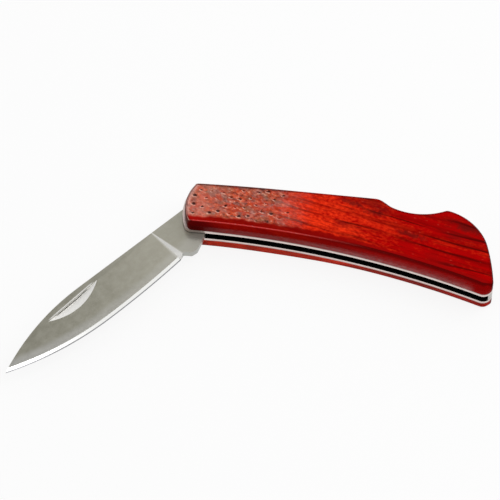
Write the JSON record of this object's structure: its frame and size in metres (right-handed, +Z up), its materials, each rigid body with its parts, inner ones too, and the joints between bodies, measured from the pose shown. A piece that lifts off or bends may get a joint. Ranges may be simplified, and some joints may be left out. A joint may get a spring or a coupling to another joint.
{
  "type": "folding pocket knife",
  "caption": "Lock-back folding pocket knife, half open: ground steel blade with a nail nick, turning on a pin between steel liners with red wood scales, held by a sprung lock bar.",
  "frame": {"origin": "on the pivot axis, on the outer face of the back scale, which the knife lies on", "axes": "+X from the pivot to the butt along the straight spine, +Y from the pivot to the spine, +Z up through the thickness to the front scale"},
  "size_m": [0.1494, 0.075, 0.0132],
  "materials": {
    "blade_steel": "satin ground faces, bright edge bevel",
    "liner_steel": "polished edges",
    "lock_steel": "satin",
    "spring_steel": "tempered, plain",
    "pin_steel": "turned",
    "washer_bronze": "plain",
    "scale_wood": "dyed red, dark grain, lacquered, stippled at the front"
  },
  "bodies": {
    "handle": {"pivot_pin": "pin_steel", "front_pivot_washer": "washer_bronze", "back_pivot_washer": "washer_bronze", "front_liner": "liner_steel", "back_liner": "liner_steel", "front_scale": "scale_wood", "back_scale": "scale_wood", "lock_bar_pin": "pin_steel", "lock_spring": "spring_steel", "back_spacer": "lock_steel", "upper_spacer_rivet": "pin_steel", "lower_spacer_rivet": "pin_steel"},
    "blade": {"blade": "blade_steel"},
    "lock_bar": {"lock_bar": "lock_steel"}
  },
  "joints": [
    {"name": "blade_pivot", "type": "hinge", "parent": "handle", "child": "blade", "pos_m": [0, 0, 0.00662], "axis": [0, 0, -1], "range_deg": [-120.5, 47.5]},
    {"name": "lock_bar_rock", "type": "hinge", "parent": "handle", "child": "lock_bar", "pos_m": [0.03853, 0.00415, 0.00662], "axis": [0, 0, -1], "range_deg": [0, 2], "stiffness_Nm_per_rad": 0.15, "springref_deg": -6.88, "deforming": ["lock_spring"]}
  ]
}
